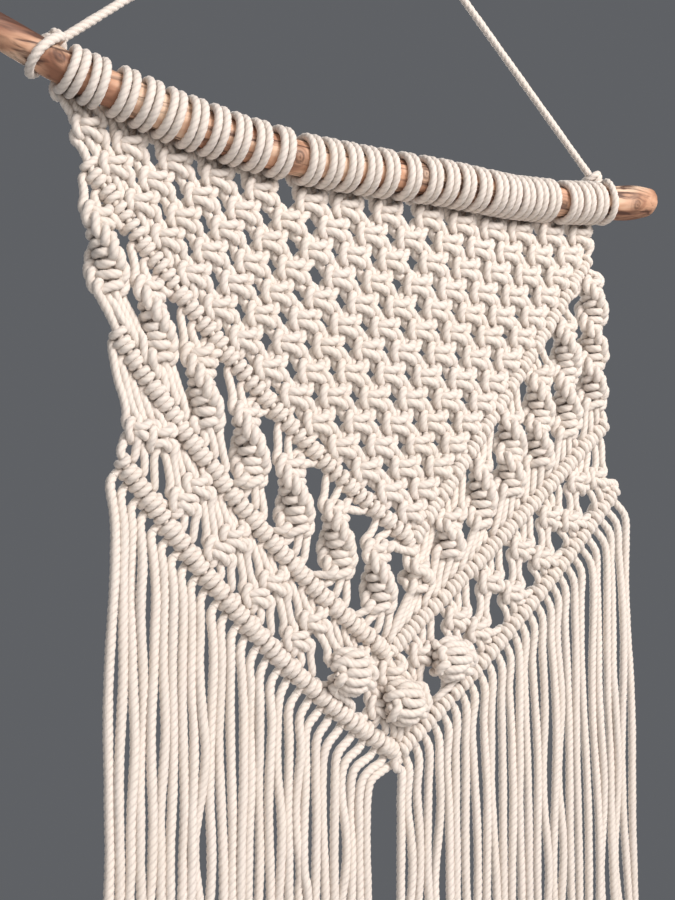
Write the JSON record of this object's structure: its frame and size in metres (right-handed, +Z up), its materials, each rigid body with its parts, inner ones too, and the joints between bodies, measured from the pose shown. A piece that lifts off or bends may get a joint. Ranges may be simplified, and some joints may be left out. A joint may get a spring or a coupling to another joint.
{
  "type": "macrame wall hanging",
  "caption": "Wall hanging of knotted cotton cord on a natural branch, with chevron ribs, twisted sinnets, berry knots and a long fringe, hung from a taut cord.",
  "frame": {"origin": "the point where the hanging cord rests on its nail, at the underside of the cord", "axes": "+Z up, +X to the right of someone facing the wall, +Y into the wall"},
  "size_m": [0.4607, 0.0374, 0.8318],
  "materials": {
    "knotted_cord": "three-strand twisted natural cotton cord, matt, knotted tight",
    "fringe_cord": "three-strand twisted natural cotton cord, matt, hanging free",
    "hanging_cord": "three-strand twisted natural cotton cord, matt, pulled taut",
    "peeled_branch": "peeled natural branch, fine dark grain lines and knots, unvarnished"
  },
  "bodies": {
    "hanging_cord": {"hanging_cord": "hanging_cord"},
    "panel": {"branch": "peeled_branch", "left_loop": "hanging_cord", "right_loop": "hanging_cord", "larks_head_01": "knotted_cord", "larks_head_02": "knotted_cord", "larks_head_03": "knotted_cord", "larks_head_04": "knotted_cord", "larks_head_05": "knotted_cord", "larks_head_06": "knotted_cord", "larks_head_07": "knotted_cord", "larks_head_08": "knotted_cord", "larks_head_09": "knotted_cord", "larks_head_10": "knotted_cord", "larks_head_11": "knotted_cord", "larks_head_12": "knotted_cord", "larks_head_13": "knotted_cord", "larks_head_14": "knotted_cord", "larks_head_15": "knotted_cord", "larks_head_16": "knotted_cord", "larks_head_17": "knotted_cord", "larks_head_18": "knotted_cord", "larks_head_19": "knotted_cord", "larks_head_20": "knotted_cord", "larks_head_21": "knotted_cord", "larks_head_22": "knotted_cord", "larks_head_23": "knotted_cord", "larks_head_24": "knotted_cord", "larks_head_25": "knotted_cord", "larks_head_26": "knotted_cord", "larks_head_27": "knotted_cord", "larks_head_28": "knotted_cord", "square_knot_triangle": "knotted_cord", "upper_rib": "knotted_cord", "middle_rib": "knotted_cord", "lower_rib": "knotted_cord", "sinnet_left_1": "knotted_cord", "sinnet_left_2": "knotted_cord", "sinnet_left_3": "knotted_cord", "sinnet_left_4": "knotted_cord", "sinnet_left_5": "knotted_cord", "sinnet_left_6": "knotted_cord", "sinnet_left_7": "knotted_cord", "sinnet_right_1": "knotted_cord", "sinnet_right_2": "knotted_cord", "sinnet_right_3": "knotted_cord", "sinnet_right_4": "knotted_cord", "sinnet_right_5": "knotted_cord", "sinnet_right_6": "knotted_cord", "sinnet_right_7": "knotted_cord", "net_left": "knotted_cord", "net_right": "knotted_cord", "berry_knot_left": "knotted_cord", "berry_knot_middle": "knotted_cord", "berry_knot_right": "knotted_cord", "fringe_left_top": "fringe_cord", "fringe_right_top": "fringe_cord"},
    "fringe_left": {"fringe_left": "fringe_cord"},
    "fringe_right": {"fringe_right": "fringe_cord"}
  },
  "joints": [
    {"name": "panel_swing", "type": "hinge", "parent": "hanging_cord", "child": "panel", "pos_m": [0, 0, -0.1585], "axis": [-1, 0, 0], "range_deg": [0, 40]},
    {"name": "fringe_left_swing", "type": "hinge", "parent": "panel", "child": "fringe_left", "pos_m": [-0.069, 0.002, -0.52], "axis": [-1, 0, 0], "range_deg": [-40, 50]},
    {"name": "fringe_right_swing", "type": "hinge", "parent": "panel", "child": "fringe_right", "pos_m": [0.1155, 0.002, -0.52], "axis": [-1, 0, 0], "range_deg": [-40, 50]}
  ]
}
